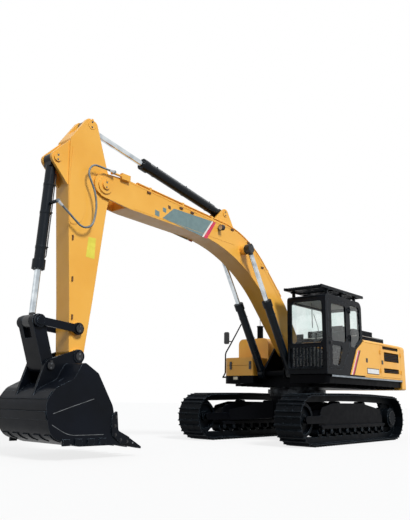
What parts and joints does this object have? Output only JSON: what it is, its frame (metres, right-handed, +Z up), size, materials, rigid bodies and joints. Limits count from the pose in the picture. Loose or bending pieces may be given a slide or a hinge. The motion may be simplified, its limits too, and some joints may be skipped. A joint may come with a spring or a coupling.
{
  "type": "crawler excavator",
  "caption": "Tracked hydraulic excavator with a slewing house, closed cab, boom, arm and toothed bucket on cylinder-worked joints, in yellow and black.",
  "frame": {"origin": "on the ground, on the axis that the house slews about, midway between the tracks", "axes": "+X forward, towards the boom, arm and bucket; +Y to the machine's left, the cab's side; +Z up"},
  "size_m": [11.025, 3.19, 5.5648],
  "materials": {
    "yellow_paint": "glossy amber-yellow paint, lightly worn",
    "black_paint": "satin black paint",
    "track_steel": "dark worn steel, dusty",
    "bucket_steel": "worn black paint with bare steel wear",
    "cylinder_paint": "slate blue-black gloss paint",
    "rod_chrome": "hard chrome, mirror bright",
    "glass": "clear safety glass, slight green tint",
    "seat_cover": "dark grey woven seat cover",
    "grey_plastic": "dark grey moulded plastic",
    "engine_iron": "grey painted cast iron",
    "bearing_steel": "machined steel, greased"
  },
  "bodies": {
    "undercarriage": {"track_left": "track_steel", "track_right": "track_steel", "track_frames": "black_paint", "idlers": "track_steel", "sprockets": "track_steel", "bottom_rollers": "track_steel", "carrier_rollers": "track_steel", "car_body": "black_paint", "slew_bearing": "bearing_steel"},
    "house": {"deck": "black_paint", "boom_bracket": "black_paint", "counterweight": "yellow_paint", "engine_bay": "yellow_paint", "engine_block": "engine_iron", "fuel_tank": "yellow_paint", "hydraulic_tank": "yellow_paint", "tool_box": "yellow_paint", "valve_block": "engine_iron", "cab_shell": "black_paint", "cab_glass": "glass", "cab_seat": "seat_cover", "cab_consoles": "grey_plastic", "roof_guard": "black_paint", "cab_grille": "black_paint", "handrail": "black_paint", "mirrors": "grey_plastic", "tank_post": "black_paint", "front_lamp": "grey_plastic"},
    "hood": {"hood": "black_paint"},
    "tool_box_lid": {"tool_box_lid": "yellow_paint"},
    "side_door_left_front": {"side_door_left_front": "yellow_paint"},
    "side_door_left_rear": {"side_door_left_rear": "yellow_paint"},
    "side_door_right_front": {"side_door_right_front": "yellow_paint"},
    "side_door_right_rear": {"side_door_right_rear": "yellow_paint"},
    "cab_door": {"cab_door": "black_paint", "door_glass": "glass"},
    "boom": {"boom": "yellow_paint", "boom_pipes": "yellow_paint", "boom_lamp": "grey_plastic"},
    "boom_cylinder_barrels": {"boom_barrel": "cylinder_paint"},
    "boom_cylinder_rods": {"boom_rod": "rod_chrome"},
    "arm": {"arm": "yellow_paint", "arm_hose": "grey_plastic"},
    "arm_cylinder_barrel": {"arm_barrel": "cylinder_paint"},
    "arm_cylinder_rod": {"arm_rod": "rod_chrome"},
    "bucket_cylinder_barrel": {"bucket_barrel": "cylinder_paint"},
    "bucket_cylinder_rod": {"bucket_rod": "rod_chrome"},
    "side_links": {"side_links": "bucket_steel"},
    "h_link": {"h_link": "bucket_steel"},
    "bucket": {"bucket": "bucket_steel", "bucket_teeth": "bucket_steel"}
  },
  "joints": [
    {"name": "swing", "type": "hinge", "parent": "undercarriage", "child": "house", "pos_m": [0, 0, 1.1], "axis": [0, 0, 1], "continuous": true},
    {"name": "boom_lift", "type": "hinge", "parent": "house", "child": "boom", "pos_m": [0.3, 0, 2.08], "axis": [0, -1, 0], "range_deg": [-62, 44]},
    {"name": "boom_cylinder_tilt", "type": "hinge", "parent": "house", "child": "boom_cylinder_barrels", "pos_m": [0.88, 0, 1.5], "axis": [0, -1, 0], "range_deg": [-61.2, 43.58]},
    {"name": "boom_cylinder_stroke", "type": "slide", "parent": "boom_cylinder_barrels", "child": "boom_cylinder_rods", "axis": [0.5208, 0, 0.8537], "range_m": [-0.7853, 0.5585]},
    {"name": "arm_swing", "type": "hinge", "parent": "boom", "child": "arm", "pos_m": [6.38, 0, 4.44], "axis": [0, -1, 0], "range_deg": [-30, 60]},
    {"name": "arm_cylinder_tilt", "type": "hinge", "parent": "boom", "child": "arm_cylinder_barrel", "pos_m": [3, 0, 4.8], "axis": [0, -1, 0], "range_deg": [-2.6, 4.7]},
    {"name": "arm_cylinder_stroke", "type": "slide", "parent": "arm_cylinder_barrel", "child": "arm_cylinder_rod", "axis": [0.9845, 0, 0.1751], "range_m": [-1.0229, 0.5135]},
    {"name": "bucket_curl", "type": "hinge", "parent": "arm", "child": "bucket", "pos_m": [6.73, 0, 1.5], "axis": [0, -1, 0], "range_deg": [-96, 60]},
    {"name": "side_link_swing", "type": "hinge", "parent": "arm", "child": "side_links", "pos_m": [6.757, 0, 1.93], "axis": [0, -1, 0], "range_deg": [-73.62, 46.2]},
    {"name": "h_link_swing", "type": "hinge", "parent": "bucket", "child": "h_link", "pos_m": [7.24, 0, 1.33], "axis": [0, -1, 0], "range_deg": [-37.3, 59.39]},
    {"name": "bucket_cylinder_tilt", "type": "hinge", "parent": "arm", "child": "bucket_cylinder_barrel", "pos_m": [7.34, 0, 4.65], "axis": [0, -1, 0], "range_deg": [-3.38, 2.3]},
    {"name": "bucket_cylinder_stroke", "type": "slide", "parent": "bucket_cylinder_barrel", "child": "bucket_cylinder_rod", "axis": [0.0487, 0, -0.9988], "range_m": [-0.48, 0.7655]},
    {"name": "cab_door_swing", "type": "hinge", "parent": "house", "child": "cab_door", "pos_m": [0.085, 1.515, 2.6], "axis": [0, 0, 1], "range_deg": [0, 170]},
    {"name": "side_door_left_front_swing", "type": "hinge", "parent": "house", "child": "side_door_left_front", "pos_m": [-1.481, 1.508, 1.86], "axis": [0, 0, 1], "range_deg": [0, 90]},
    {"name": "side_door_right_front_swing", "type": "hinge", "parent": "house", "child": "side_door_right_front", "pos_m": [-1.481, -1.508, 1.86], "axis": [0, 0, -1], "range_deg": [0, 90]},
    {"name": "side_door_left_rear_swing", "type": "hinge", "parent": "house", "child": "side_door_left_rear", "pos_m": [-2.718, 1.508, 1.86], "axis": [0, 0, 1], "range_deg": [0, 90]},
    {"name": "side_door_right_rear_swing", "type": "hinge", "parent": "house", "child": "side_door_right_rear", "pos_m": [-2.718, -1.508, 1.86], "axis": [0, 0, -1], "range_deg": [0, 90]},
    {"name": "hood_lift", "type": "hinge", "parent": "house", "child": "hood", "pos_m": [-1.572, 0, 2.363], "axis": [0, 1, 0], "range_deg": [0, 60]},
    {"name": "tool_box_lid_lift", "type": "hinge", "parent": "house", "child": "tool_box_lid", "pos_m": [0.462, -0.98, 1.868], "axis": [0, -1, 0], "range_deg": [0, 80]}
  ],
  "couplings": [
    {"joint": "boom_cylinder_tilt", "follows": "boom_lift", "ratio": 0.979},
    {"joint": "boom_cylinder_stroke", "follows": "boom_lift", "m_per_rad": 0.722},
    {"joint": "arm_cylinder_tilt", "follows": "arm_swing", "ratio": 0.07},
    {"joint": "arm_cylinder_stroke", "follows": "arm_swing", "m_per_rad": -0.973},
    {"joint": "side_link_swing", "follows": "bucket_curl", "ratio": 0.7617},
    {"joint": "h_link_swing", "follows": "bucket_curl", "ratio": -0.6134},
    {"joint": "bucket_cylinder_tilt", "follows": "bucket_curl", "ratio": 0.03},
    {"joint": "bucket_cylinder_stroke", "follows": "bucket_curl", "m_per_rad": -0.4545}
  ]
}
